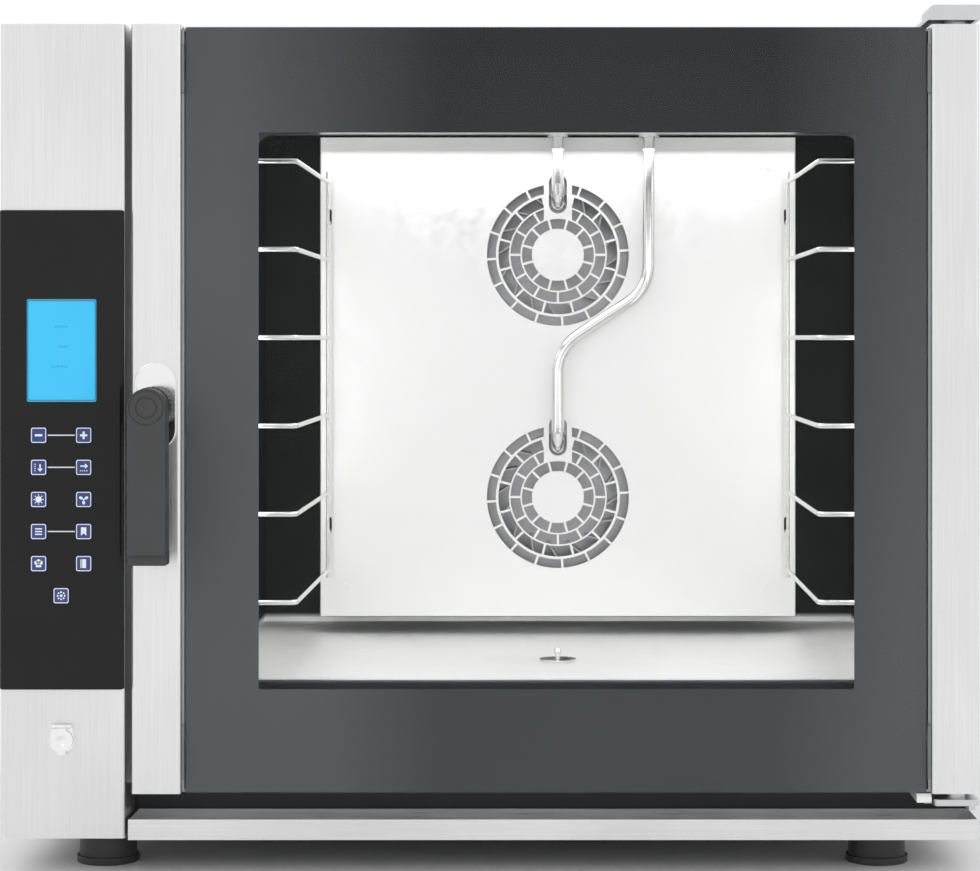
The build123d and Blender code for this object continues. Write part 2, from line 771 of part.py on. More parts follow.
# ---- fan wheels: a back disc, curved blades, a front ring, a hub and its shaft ---------
fan_front = 530.0
fan_back = 575.0
blade_count = 16


def fan_wheel(name, fan_z):
    """A radial fan wheel on its motor shaft."""
    with BuildPart() as wheel:
        barrel(cavity_x, fan_z, fan_radius, (fan_back - 2.0, fan_back))
        barrel(cavity_x, fan_z, fan_radius, (fan_front, fan_front + 2.0))
        barrel(cavity_x, fan_z, fan_radius - 24.0, (fan_front - 1.0, fan_front + 3.0), Mode.SUBTRACT)
        with BuildSketch(facing(fan_back - 1.0)):
            with Locations((cavity_x, fan_z)):
                with PolarLocations(fan_radius - 22.0, blade_count):
                    Rectangle(42.0, 2.0, rotation=32.0)
        extrude(amount=fan_back - fan_front - 2.0)
        barrel(cavity_x, fan_z, 16.0, (fan_front + 12.0, fan_back))
        barrel(cavity_x, fan_z, shaft_radius, (fan_front + 6.0, motor_front + 66.0))
        with BuildSketch(facing(fan_front + 12.0)):
            with Locations((cavity_x, fan_z)):
                RegularPolygon(10.0, 6)
        extrude(amount=7.0)
    save(wheel, name)


for position, fan_z in fan_heights.items():
    fan_wheel(f"fan_{position}", fan_z)

# ---- heating elements: three rings round each fan, with tails through the rear wall ----
with BuildPart() as heating_elements:
    for fan_z in fan_heights.values():
        with BuildSketch(facing(blanket_back + 9.0)):
            with Locations(*terminal_points(fan_z)):
                Circle(heater_tail)
        extrude(amount=blanket_back + 9.0 - heater_depths[0])
        for ring_depth in heater_depths:
            with Locations(facing(ring_depth) * Location((cavity_x, fan_z, 0.0), (0, 0, 90))):
                Torus(heater_radius, heater_tube)
save(heating_elements, "heating_elements")

# ---- steam pipes: from the ceiling, round a bend and through a slot into each fan ------
pipe_wall = 1.0
pipe_top = cavity_top + blanket + 8.0
pipe_end = baffle_depth + 20.0
pipe_bend = 22.0
sweep_bend = 50.0
elbow_z = 573.6
diagonal_z = 505.6


def slot_floor(fan_z):
    """Height at which a pipe runs back through the baffle's slot."""
    return fan_z + pipe_slot_rise - (pipe_slot_length - pipe_slot_width) / 2


def pipe_along(points, radii):
    """A round tube along straight runs joined by bends, with a collar at the ceiling."""
    start = points[0]
    with BuildLine() as route:
        FilletPolyline(*points, radius=radii)
    with BuildSketch(Plane(origin=start, z_dir=(0.0, 0.0, -1.0))) as ring:
        Circle(pipe_radius)
        Circle(pipe_radius - pipe_wall, mode=Mode.SUBTRACT)
    sweep(ring.sketch, path=route.line)
    with BuildSketch(level(cavity_top - 4.0)) as collar:
        with Locations((start[0], start[1])):
            Circle(pipe_radius + 5.0)
            Circle(pipe_radius - 0.4, mode=Mode.SUBTRACT)
    extrude(collar.sketch, amount=4.0)


pipe_y = y_at(pipe_depth)
upper_exit = slot_floor(fan_heights["upper"])
lower_exit = slot_floor(fan_heights["lower"])
with BuildPart() as steam_pipes:
    pipe_along(
        [
            (cavity_x, pipe_y, pipe_top),
            (cavity_x, pipe_y, upper_exit),
            (cavity_x, y_at(pipe_end), upper_exit),
        ],
        pipe_bend,
    )
    pipe_along(
        [
            (lower_pipe_x, pipe_y, pipe_top),
            (lower_pipe_x, pipe_y, elbow_z),
            (cavity_x, pipe_y, diagonal_z),
            (cavity_x, pipe_y, lower_exit),
            (cavity_x, y_at(pipe_end), lower_exit),
        ],
        [sweep_bend, sweep_bend, pipe_bend],
    )
save(steam_pipes, "steam_pipes")

# ---- tray racks: bent wires on a wall frame, hung on the studs by their top rail --------
kink_radius = 6.0
overshoot = 4.0


def wire(points, radius=wire_radius, bend=None):
    """A round wire along a route, welded to whatever it crosses."""
    with BuildLine() as route:
        if bend:
            FilletPolyline(*points, radius=bend)
        else:
            Line(*points)
    start = Vector(*points[0])
    heading = Vector(*points[1]) - start
    with BuildSketch(Plane(origin=start, z_dir=heading)) as section:
        Circle(radius)
    sweep(section.sketch, path=route.line)


def tray_rack(name, edge):
    """One side rack: two uprights, six kinked level wires, and hooks at the wall and baffle."""
    inner = cavity_x + edge * rack_inner
    outer = cavity_x + edge * rack_outer
    front = y_at(rack_front)
    rear = y_at(rack_rear)
    with BuildPart() as rack:
        for x, y in ((outer, front), (inner, rear)):
            wire([(x, y, rack_bottom), (x, y, rack_top)], upright_radius)
        for hook_z in rack_hooks:
            wire([(outer - edge * overshoot, front, hook_z), (outer + edge * hook_reach, front, hook_z)])
        for pin_z in rack_pins:
            wire([(inner, rear, pin_z), (inner, y_at(rack_pin_end), pin_z)], pin_radius)
        for rack_level in range(rack_levels):
            level_z = rack_level_top - rack_level * rack_level_pitch
            wire(
                [
                    (outer + edge * overshoot, front, level_z),
                    (inner, front, level_z),
                    (inner, rear + overshoot, level_z),
                ],
                bend=kink_radius,
            )
    save(rack, name)


tray_rack("rack_left", -1)
tray_rack("rack_right", 1)

# ---- drain strainer: a pierced disc with a skirt and a lifting knob --------------------
strainer_radius = 20.0
strainer_z = dish_bottom + 0.4
with BuildPart() as drain_strainer:
    post(cavity_x, drain_depth, strainer_radius, (strainer_z, strainer_z + 2.0))
    post(cavity_x, drain_depth, drain_radius - 1.0, (strainer_z - 10.0, strainer_z))
    post(cavity_x, drain_depth, drain_radius - 2.5, (strainer_z - 11.0, strainer_z), Mode.SUBTRACT)
    with BuildSketch(level(strainer_z - 1.0)):
        with Locations((cavity_x, y_at(drain_depth))):
            with PolarLocations(9.5, 8):
                Circle(2.2)
    extrude(amount=4.0, mode=Mode.SUBTRACT)
    post(cavity_x, drain_depth, 2.5, (strainer_z, strainer_z + 9.0))
    with Locations((cavity_x, y_at(drain_depth), strainer_z + 10.0)):
        Sphere(4.2)
save(drain_strainer, "drain_strainer")

# ---- drain pipe: down from the sump, then back through the rear panel ------------------
drain_bend = 26.0
drain_wall = 2.0
drain_end = body_back + 30.0
with BuildPart() as drain_pipe:
    with BuildLine() as drain_route:
        FilletPolyline(
            (cavity_x, y_at(drain_depth), sump_bottom),
            (cavity_x, y_at(drain_depth), drain_run_z),
            (cavity_x, y_at(drain_end), drain_run_z),
            radius=drain_bend,
        )
    with BuildSketch(Plane(origin=(cavity_x, y_at(drain_depth), sump_bottom), z_dir=(0, 0, -1))):
        Circle(drain_radius_outside)
        Circle(drain_radius_outside - drain_wall, mode=Mode.SUBTRACT)
    sweep(path=drain_route.line)
    barrel(cavity_x, drain_run_z, 26.0, (body_back + 0.2, body_back + 4.0))
    barrel(cavity_x, drain_run_z, drain_stub_radius, (body_back + 4.0, drain_end))
    barrel(
        cavity_x,
        drain_run_z,
        drain_radius_outside - drain_wall,
        (body_back - 5.0, drain_end + 1.0),
        Mode.SUBTRACT,
    )
    post(cavity_x, drain_depth, drain_radius_outside, (sump_bottom, sump_bottom + 14.0))
    post(
        cavity_x,
        drain_depth,
        drain_radius + sump_wall + 0.1,
        (sump_bottom, sump_bottom + 15.0),
        Mode.SUBTRACT,
    )
save(drain_pipe, "drain_pipe")

# ---- vent chimney: a flue from the cavity ceiling, with a collar and a stub on top ------
vent_collar = (body_top + 0.2, body_top + 2.3)
with BuildPart() as vent_chimney:
    post(vent_x, vent_depth, vent_radius - 0.5, (cavity_top + cavity_wall, body_top + 1.0))
    post(vent_x, vent_depth, 32.0, (cavity_top + cavity_wall, cavity_top + 2 * cavity_wall))
    post(vent_x, vent_depth, 34.0, vent_collar)
    post(vent_x, vent_depth, vent_radius, (vent_collar[1], bracket_z[1]))
    post(vent_x, vent_depth, vent_radius - 2.0, (cavity_top, bracket_z[1] + 5.0), Mode.SUBTRACT)
save(vent_chimney, "vent_chimney")

# ---- water valve: two solenoid valves on a bracket, their inlets through the rear ------
inlet_span = (body_back + 3.0, body_back + 23.0)
inlet_bore = 9.5
with BuildPart() as water_valve:
    block((water_x - 52.0, water_x + 52.0), (body_back - 8.0, body_back - 5.0), (240.0, 320.0))
    for inlet_x in (water_x - water_pitch / 2, water_x + water_pitch / 2):
        barrel(inlet_x, water_z, water_radius - 0.6, (body_back - 6.0, body_back + 1.0))
        barrel(inlet_x, water_z, water_radius, inlet_span)
        with BuildSketch(facing(inlet_span[0])):
            with Locations((inlet_x, water_z)):
                RegularPolygon(19.0, 6)
        extrude(amount=inlet_span[0] - body_back - 0.2)
        barrel(inlet_x, water_z, 17.0, (body_back - 16.0, body_back - 5.0))
        block((inlet_x - 14.0, inlet_x + 14.0), (700.0, body_back - 14.0), (256.0, 284.0))
        post(inlet_x, 722.0, 16.0, (282.0, 330.0))
        barrel(inlet_x, water_z, 6.0, (672.0, 702.0))
        barrel(inlet_x, water_z, inlet_bore, (body_back - 12.0, inlet_span[1] + 1.0), Mode.SUBTRACT)
save(water_valve, "water_valve")

# ---- cable gland: a clamped body, a lock nut each side of the panel and a dome ---------
gland_bore = 8.0
with BuildPart() as cable_gland:
    barrel(gland_x, gland_z, gland_thread, (body_back - 14.0, body_back + 1.0))
    for nut_span in ((body_back - 7.0, body_back - sheet), (body_back, body_back + 6.0)):
        with BuildSketch(facing(nut_span[1])):
            with Locations((gland_x, gland_z)):
                RegularPolygon(17.0, 6)
        extrude(amount=nut_span[1] - nut_span[0])
    barrel(gland_x, gland_z, 14.0, (body_back + 6.0, body_back + 22.0))
    fillet(cable_gland.faces().sort_by(Axis.Y)[-1].edges(), 4.0)
    barrel(gland_x, gland_z, gland_bore, (body_back - 20.0, body_back + 30.0), Mode.SUBTRACT)
save(cable_gland, "cable_gland")


# ======================================================================================
# Door
# ======================================================================================

stile_wall = 2.0
stile_lip = 10.0
escutcheon_sleeve = 10.0


def stile(name, x_span, open_side, extras):
    """A folded stainless channel with end caps, open towards the glass."""
    with BuildPart() as channel:
        with BuildSketch(facing(door_thickness)):
            patch(x_span, (door_bottom, door_top))
        extrude(amount=door_thickness)
        fillet(channel.edges().filter_by(Axis.Z).group_by(Axis.Y)[0], 3.5)
        hollow_x = [x_span[0] + stile_wall, x_span[1] - stile_wall]
        hollow_z = (door_bottom + stile_wall, door_top - stile_wall)
        block(hollow_x, (stile_wall, door_thickness - stile_wall), hollow_z, Mode.SUBTRACT)
        slot_x = (x_span[1] - stile_wall - 1.0, x_span[1] + 1.0)
        if open_side < 0:
            slot_x = (x_span[0] - 1.0, x_span[0] + stile_wall + 1.0)
        slot_depth = (stile_lip, door_thickness - stile_wall)
        block(slot_x, slot_depth, hollow_z, Mode.SUBTRACT)
        extras()
    save(channel, name)


def handle_openings():
    """The spindle sleeve's hole in front and the strike's hole at the back."""
    barrel(handle_x, handle_z, escutcheon_sleeve + 0.1, (-5.0, 5.0), Mode.SUBTRACT)
    barrel(handle_x, strike_z, 8.5, (door_thickness - 5.0, door_thickness + 5.0), Mode.SUBTRACT)


def hinge_openings():
    """Holes in both end caps for the hinge bushes."""
    post(hinge_x, hinge_depth, bush_radius + 0.1, (door_bottom - 5.0, door_bottom + 5.0), Mode.SUBTRACT)
    post(hinge_x, hinge_depth, bush_radius + 0.1, (door_top - 5.0, door_top + 5.0), Mode.SUBTRACT)


stile("door_left_stile", left_stile_x, 1, handle_openings)
stile("door_right_stile", right_stile_x, -1, hinge_openings)

# ---- hinge bushes: flanged sleeves in the right stile's end caps -----------------------
with BuildPart() as door_bushes:
    for end, inward in ((door_bottom, 1), (door_top, -1)):
        sleeve = sorted((end, end + inward * bush_length))
        rim = sorted((end + inward * stile_wall, end + inward * (stile_wall + 3.0)))
        post(hinge_x, hinge_depth, bush_radius, sleeve)
        post(hinge_x, hinge_depth, bush_radius + 5.0, rim)
        post(
            hinge_x,
            hinge_depth,
            hinge_pin_radius + running_gap,
            (sleeve[0] - 5.0, sleeve[1] + 5.0),
            Mode.SUBTRACT,
        )
save(door_bushes, "door_bushes")

# ---- outer glass: one pane between the stiles ------------------------------------------
glass_depth = 1.0
with BuildPart() as outer_glass:
    with BuildSketch(facing(glass_depth + glass_thickness)):
        patch(glass_x, (door_bottom, glass_top), radius=1.5)
    extrude(amount=glass_thickness)
    chamfer(outer_glass.faces().sort_by(Axis.Y)[0].edges(), 0.5)
save(outer_glass, "outer_glass")

# ---- door frame: a folded pan behind the glass, with a window in its inner skin --------
frame_x = (left_stile_x[1], right_stile_x[0])
frame_z = (door_bottom + 1.0, door_top - 4.0)
frame_front = 8.0
frame_back = door_thickness - 0.5
frame_wall = 2.0
inner_window_x = (-243.0, 372.0)
inner_window_z = (158.0, 737.0)
with BuildPart() as door_frame:
    with BuildSketch(facing(frame_back)):
        patch(frame_x, frame_z)
        patch(inner_window_x, inner_window_z, Mode.SUBTRACT, radius=8.0)
    extrude(amount=frame_wall)
    with BuildSketch(facing(frame_back - 1.0)):
        patch(frame_x, frame_z)
        patch(
            (frame_x[0] + frame_wall, frame_x[1] - frame_wall),
            (frame_z[0] + frame_wall, frame_z[1] - frame_wall),
            Mode.SUBTRACT,
        )
    extrude(amount=frame_back - 1.0 - frame_front)
    with BuildSketch(facing(frame_back - 1.0)):
        for bar_z in (inner_window_z[0] - 26.0, inner_window_z[1] + 20.0):
            patch((frame_x[0] + 1.0, frame_x[1] - 1.0), (bar_z, bar_z + 6.0))
    extrude(amount=frame_back - 1.0 - frame_front)
save(door_frame, "door_frame")

# ---- inner glass: a second pane against the frame's inner skin -------------------------
with BuildPart() as inner_glass:
    with BuildSketch(facing(frame_back - frame_wall - 0.2)):
        patch(
            (inner_window_x[0] - 12.0, inner_window_x[1] + 12.0),
            (inner_window_z[0] - 12.0, inner_window_z[1] + 12.0),
            radius=8.0,
        )
    extrude(amount=glass_thickness)
save(inner_glass, "inner_glass")

# ---- glass spacers: four strips in the gaps between the pane and the stiles ------------
with BuildPart() as glass_spacers:
    for strip_x in ((frame_x[0] + 0.2, glass_x[0] - 0.2), (glass_x[1] + 0.2, frame_x[1] - 0.2)):
        for strip_z in ((96.3, 147.8), (752.8, 799.5)):
            block(strip_x, (glass_depth + 0.6, frame_front), strip_z)
save(glass_spacers, "glass_spacers")

# ---- handle escutcheon: a long oval plate with a raised rim and a sleeve for the spindle
escutcheon_width = 39.4
escutcheon_height = 83.2
escutcheon_rise = 3.0
escutcheon_rim = 1.6
with BuildPart() as handle_escutcheon:
    with BuildSketch(facing(0.0)):
        with Locations((handle_x, handle_z)):
            SlotOverall(escutcheon_height, escutcheon_width, rotation=90.0)
    extrude(amount=escutcheon_rise)
    with BuildSketch(facing(-escutcheon_rise + 1.6)):
        with Locations((handle_x, handle_z)):
            SlotOverall(
                escutcheon_height - 2 * escutcheon_rim,
                escutcheon_width - 2 * escutcheon_rim,
                rotation=90.0,
            )
    extrude(amount=5.0, mode=Mode.SUBTRACT)
    fillet(handle_escutcheon.faces().sort_by(Axis.Y)[0].outer_wire().edges(), 0.7)
    barrel(handle_x, handle_z, escutcheon_sleeve, (-1.0, 26.0))
    barrel(handle_x, handle_z, spindle_radius + running_gap, (-5.0, 30.0), Mode.SUBTRACT)
save(handle_escutcheon, "handle_escutcheon")


# ======================================================================================
# Handle
# ======================================================================================

lever_half_width = 18.0
lever_back = -31.0
lever_shoulder = 314.5
lever_end = 305.0
collar_radius = 19.0
collar_ribs = 24

# ---- lever: a rounded grip with a round boss, a stepped foot and a ribbed collar -------
tip_half_width = lever_half_width + 0.4
tip_top = lever_shoulder + 4.0
tip_back = lever_back - 3.0
tip_front = -handle_reach + 6.0
with BuildPart() as lever_tip:
    with BuildSketch(facing(tip_back)):
        patch((handle_x - tip_half_width, handle_x + tip_half_width), (lever_end, tip_top))
    extrude(amount=tip_back - tip_front)
    fillet(lever_tip.edges().filter_by(Axis.Y).group_by(Axis.Z)[0], 2.5)
    fillet(lever_tip.faces().sort_by(Axis.Z)[0].outer_wire().edges(), 1.2)

with BuildPart() as handle_lever:
    with BuildSketch(facing(lever_back)):
        with Locations((handle_x, handle_z)):
            Circle(lever_half_width)
        patch((handle_x - lever_half_width, handle_x + lever_half_width), (lever_shoulder, handle_z))
    extrude(amount=handle_reach + lever_back)
    fillet(handle_lever.faces().sort_by(Axis.Y)[0].edges(), 1.6)
    fillet(handle_lever.faces().sort_by(Axis.Y)[-1].edges(), 5.0)
    add(lever_tip.part)
    for groove in (16.0, 9.6):
        with BuildSketch(facing(-handle_reach + 0.9)):
            with Locations((handle_x, handle_z)):
                Circle(groove + 0.6)
                Circle(groove - 0.6, mode=Mode.SUBTRACT)
        extrude(amount=5.0, mode=Mode.SUBTRACT)
    with BuildSketch(facing(-escutcheon_rise - 0.4)):
        with Locations((handle_x, handle_z)):
            Circle(collar_radius)
            with PolarLocations(collar_radius + 0.4, collar_ribs):
                Circle(1.1, mode=Mode.SUBTRACT)
    extrude(amount=-lever_back - escutcheon_rise + 0.6)
    barrel(handle_x, handle_z, spindle_radius + 0.02, (-handle_reach + 14.0, 0.0), Mode.SUBTRACT)
save(handle_lever, "handle_lever")

# ---- latch cam: the spindle, with a disc whose keyhole turns round the strike's neck ---
cam_radius = 19.8
keyhole_radius = strike_head + 1.0
neck_slot_width = 2 * strike_neck + 1.4
with BuildPart() as latch_cam:
    barrel(handle_x, handle_z, spindle_radius, (-handle_reach + 14.5, cam_depth[1]))
    barrel(handle_x, handle_z, cam_radius, cam_depth)
    barrel(handle_x, handle_z, spindle_radius + 1.0, (27.0, cam_depth[0]))
    with BuildSketch(facing(cam_depth[1] + 1.0)):
        with Locations((handle_x, handle_z)):
            Circle(strike_offset + neck_slot_width / 2)
            Circle(strike_offset - neck_slot_width / 2, mode=Mode.SUBTRACT)
        patch((handle_x - 25.0, handle_x + 25.0), (handle_z, handle_z + 25.0), Mode.SUBTRACT)
        with Locations((handle_x - strike_offset, handle_z), (handle_x + strike_offset, handle_z)):
            Circle(neck_slot_width / 2)
        with Locations((handle_x, handle_z - strike_offset)):
            Circle(keyhole_radius)
    extrude(amount=cam_depth[1] - cam_depth[0] + 2.0, mode=Mode.SUBTRACT)
save(latch_cam, "latch_cam")


# ======================================================================================
# Feet
# ======================================================================================


def screw_foot(name, x, depth):
    """A levelling foot: a drum with a flared rim, on a threaded stem."""
    with BuildPart() as foot:
        post(x, depth, foot_radius, (0.0, foot_height))
        post(x, depth, foot_rim_radius, (0.0, 7.0))
        fillet(foot.edges().filter_by(GeomType.CIRCLE).group_by(Axis.Z)[-1], 2.0)
        fillet(foot.edges().filter_by(GeomType.CIRCLE).group_by(Axis.Z)[0], 1.5)
        post(x, depth, 6.0, (foot_height - 1.0, body_bottom + 22.0))
        post(x, depth, 9.0, (body_bottom + 14.6, body_bottom + 20.0))
    save(foot, name)


for row, foot_depth in foot_depths.items():
    screw_foot(f"foot_{row}_left", -foot_x, foot_depth)
    screw_foot(f"foot_{row}_right", foot_x, foot_depth)
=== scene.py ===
import json
from math import cos, pi, radians, sin

import bmesh
import bpy
from mathutils import Matrix, Vector


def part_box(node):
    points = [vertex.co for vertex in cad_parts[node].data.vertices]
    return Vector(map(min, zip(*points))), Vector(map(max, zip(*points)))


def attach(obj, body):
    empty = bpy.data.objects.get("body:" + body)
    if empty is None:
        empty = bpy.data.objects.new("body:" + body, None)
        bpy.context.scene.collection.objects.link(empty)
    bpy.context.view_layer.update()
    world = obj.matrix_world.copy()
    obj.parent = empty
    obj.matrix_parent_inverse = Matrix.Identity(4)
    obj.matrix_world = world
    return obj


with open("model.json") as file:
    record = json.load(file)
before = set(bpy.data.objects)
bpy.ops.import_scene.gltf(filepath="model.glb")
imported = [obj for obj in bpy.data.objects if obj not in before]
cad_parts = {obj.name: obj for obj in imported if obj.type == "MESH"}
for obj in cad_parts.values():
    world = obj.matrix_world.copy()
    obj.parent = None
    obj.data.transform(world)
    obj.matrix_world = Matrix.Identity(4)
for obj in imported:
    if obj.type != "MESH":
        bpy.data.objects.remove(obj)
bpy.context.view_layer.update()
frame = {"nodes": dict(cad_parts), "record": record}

# Looks of a combi steamer oven. Metres, in the frame's own axes: X right, Y back, Z up.

NODES = frame["nodes"]
MM = 0.001

# ---- camera ----------------------------------------------------------------------------
EYE_DISTANCE = 2.5
EYE_X = 0.0668
EYE_HEIGHT = 0.519
SENSOR = 36.0
VIEW_WIDTH = 0.9351
SHIFT = (-0.0714, -0.1005)
DOOR_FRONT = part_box("door_left_stile")[0][1]


def add_camera():
    """Eye level with the middle of the door, square to its front."""
    data = bpy.data.cameras.new("camera")
    data.sensor_width = SENSOR
    data.lens = SENSOR * EYE_DISTANCE / VIEW_WIDTH
    data.shift_x, data.shift_y = SHIFT
    camera = bpy.data.objects.new("camera", data)
    camera.location = (EYE_X, DOOR_FRONT - EYE_DISTANCE, EYE_HEIGHT)
    camera.rotation_euler = (radians(90.0), 0.0, 0.0)
    bpy.context.collection.objects.link(camera)
    bpy.context.scene.camera = camera


# ---- material building blocks ----------------------------------------------------------
GRAIN_ANY = (90.0, 90.0, 90.0)
GRAIN_UP = (1400.0, 1400.0, 9.0)
GRAIN_ACROSS = (9.0, 1400.0, 1400.0)
GRAIN_DEEP = (1400.0, 9.0, 1400.0)


def blank(name):
    """A new material with its tree and main shader."""
    material = bpy.data.materials.new(name)
    material.use_nodes = True
    tree = material.node_tree
    return material, tree, tree.nodes["Principled BSDF"]


def noise(tree, scale, detail=4.0, roughness=0.6):
    """Noise in the part's own space; scale is in cycles per metre along each axis."""
    place = tree.nodes.new("ShaderNodeTexCoord")
    stretch = tree.nodes.new("ShaderNodeMapping")
    stretch.inputs["Scale"].default_value = scale
    tree.links.new(place.outputs["Object"], stretch.inputs["Vector"])
    texture = tree.nodes.new("ShaderNodeTexNoise")
    texture.inputs["Scale"].default_value = 1.0
    texture.inputs["Detail"].default_value = detail
    texture.inputs["Roughness"].default_value = roughness
    tree.links.new(stretch.outputs["Vector"], texture.inputs["Vector"])
    return texture.outputs["Fac"]


def remap(tree, value, low, high, start=0.3, end=0.7):
    """The value between start and end, spread over low to high."""
    node = tree.nodes.new("ShaderNodeMapRange")
    node.inputs["From Min"].default_value = start
    node.inputs["From Max"].default_value = end
    node.inputs["To Min"].default_value = low
    node.inputs["To Max"].default_value = high
    tree.links.new(value, node.inputs["Value"])
    return node.outputs["Result"]


def blend_colours(tree, factor, first, second):
    """first where the factor is 0 and second where it is 1."""
    node = tree.nodes.new("ShaderNodeMix")
    node.data_type = "RGBA"
    tree.links.new(factor, node.inputs["Factor"])
    for socket, colour in (("A", first), ("B", second)):
        port = [s for s in node.inputs if s.name == socket and s.type == "RGBA"][0]
        if isinstance(colour, bpy.types.NodeSocket):
            tree.links.new(colour, port)
        else:
            port.default_value = (*colour, 1.0)
    return [s for s in node.outputs if s.type == "RGBA"][0]


def combine(tree, operation, first, second):
    """Arithmetic on two values, either of which may be a plain number."""
    node = tree.nodes.new("ShaderNodeMath")
    node.operation = operation
    for port, value in zip(node.inputs, (first, second)):
        if isinstance(value, bpy.types.NodeSocket):
            tree.links.new(value, port)
        else:
            port.default_value = value
    return node.outputs["Value"]


def bump(tree, shader, height, strength, distance):
    """Surface relief."""
    node = tree.nodes.new("ShaderNodeBump")
    node.inputs["Strength"].default_value = strength
    node.inputs["Distance"].default_value = distance
    tree.links.new(height, node.inputs["Height"])
    tree.links.new(node.outputs["Normal"], shader.inputs["Normal"])


def scaled(colour, factor):
    """A colour made darker or lighter."""
    return tuple(min(1.0, channel * factor) for channel in colour)


def steel(name, colour, roughness, grain=GRAIN_ANY, relief=0.12, cloud=0.06, spread=0.07):
    """Stainless sheet: fine grain, slow clouds, and handling marks in the gloss."""
    material, tree, shader = blank(name)
    fine = noise(tree, grain, 5.0, 0.65)
    slow = noise(tree, (5.0, 5.0, 3.0), 3.0, 0.5)
    marks = noise(tree, (38.0, 38.0, 26.0), 6.0, 0.7)
    total = combine(tree, "ADD", combine(tree, "MULTIPLY", fine, 0.5), combine(tree, "MULTIPLY", slow, 0.5))
    tint = blend_colours(tree, remap(tree, total, 0.0, 1.0), scaled(colour, 1 - cloud), scaled(colour, 1 + cloud))
    tree.links.new(tint, shader.inputs["Base Color"])
    gloss = combine(tree, "ADD", remap(tree, fine, -spread, spread), remap(tree, marks, -0.03, 0.03))
    tree.links.new(combine(tree, "ADD", gloss, roughness), shader.inputs["Roughness"])
    shader.inputs["Metallic"].default_value = 1.0
    bump(tree, shader, fine, relief, 0.00006)
    return material


def plastic(name, colour, roughness, grain=1500.0, relief=0.25, cloud=0.12, coat=0.0, gloss=0.5):
    """Moulded plastic or rubber with an eroded surface and slight staining."""
    material, tree, shader = blank(name)
    fine = noise(tree, (grain, grain, grain), 3.0, 0.55)
    slow = noise(tree, (14.0, 14.0, 14.0), 4.0, 0.6)
    tint = blend_colours(tree, remap(tree, slow, 0.0, 1.0), scaled(colour, 1 - cloud), scaled(colour, 1 + cloud))
    tree.links.new(tint, shader.inputs["Base Color"])
    tree.links.new(remap(tree, slow, roughness - 0.05, roughness + 0.06), shader.inputs["Roughness"])
    shader.inputs["Specular IOR Level"].default_value = gloss
    shader.inputs["Coat Weight"].default_value = coat
    shader.inputs["Coat Roughness"].default_value = 0.08
    bump(tree, shader, fine, relief, 0.00012)
    return material


def clear_glass(name, colour, opacity):
    """Thin clear glass with faint water marks."""
    material, tree, shader = blank(name)
    smears = noise(tree, (9.0, 9.0, 5.0), 6.0, 0.62)
    tint = blend_colours(tree, remap(tree, smears, 0.0, 1.0), colour, scaled(colour, 1.04))
    tree.links.new(tint, shader.inputs["Base Color"])
    tree.links.new(remap(tree, smears, 0.015, 0.05), shader.inputs["Roughness"])
    shader.inputs["Alpha"].default_value = opacity
    return material


def glowing(name, colour, strength):
    """A lit liquid-crystal screen, a little uneven from its back light."""
    material, tree, shader = blank(name)
    slow = noise(tree, (16.0, 16.0, 12.0), 2.0, 0.5)
    cells = noise(tree, (2600.0, 2600.0, 2600.0), 1.0, 0.5)
    tint = blend_colours(tree, remap(tree, slow, 0.0, 1.0), scaled(colour, 0.96), scaled(colour, 1.03))
    tree.links.new(tint, shader.inputs["Base Color"])
    tree.links.new(tint, shader.inputs["Emission Color"])
    shader.inputs["Specular IOR Level"].default_value = 0.2
    tree.links.new(remap(tree, cells, 0.1, 0.18), shader.inputs["Roughness"])
    shader.inputs["Emission Strength"].default_value = strength
    return material


# ---- finishes for the CAD nodes --------------------------------------------------------
STEEL_WHITE = (0.755, 0.755, 0.755)
STEEL_BRIGHT = (0.90, 0.90, 0.895)


def cavity_finish():
    """Cavity sheet, with painted shade in the duct behind the baffle: near black, matt and not metallic there."""
    material = steel("cavity_sheet", STEEL_BRIGHT, 0.34, relief=0.08)
    tree = material.node_tree
    shader = tree.nodes["Principled BSDF"]
    place = tree.nodes.new("ShaderNodeTexCoord")
    split = tree.nodes.new("ShaderNodeSeparateXYZ")
    tree.links.new(place.outputs["Object"], split.inputs["Vector"])
    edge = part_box("fan_baffle")[0][1]
    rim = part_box("fan_baffle")[0][2]
    # Painted shade: behind the baffle and above its bottom edge the sheet is coloured near black, mottled a little.
    behind = remap(tree, split.outputs["Y"], 0.0, 1.0, edge - 0.002, edge + 0.012)
    above = remap(tree, split.outputs["Z"], 0.0, 1.0, rim - 0.012, rim - 0.006)
    shade_mask = combine(tree, "MULTIPLY", behind, above)
    clean = shader.inputs["Base Color"].links[0].from_socket
    shade_mottle = noise(tree, (12.0, 12.0, 18.0), 5.0, 0.6)
    shade_tint = blend_colours(tree, remap(tree, shade_mottle, 0.0, 1.0, 0.5, 0.8), (0.003, 0.003, 0.003), (0.012, 0.011, 0.010))
    tint = blend_colours(tree, shade_mask, clean, shade_tint)
    tree.links.new(tint, shader.inputs["Base Color"])
    metal = remap(tree, shade_mask, 1.0, 0.0, 0.0, 1.0)
    tree.links.new(metal, shader.inputs["Metallic"])
    gloss = shader.inputs["Roughness"].links[0].from_socket
    dulled = combine(tree, "ADD", gloss, remap(tree, shade_mask, 0.0, 0.5, 0.0, 1.0))
    tree.links.new(dulled, shader.inputs["Roughness"])
    shader.inputs["Specular IOR Level"].default_value = 0.15
    return material


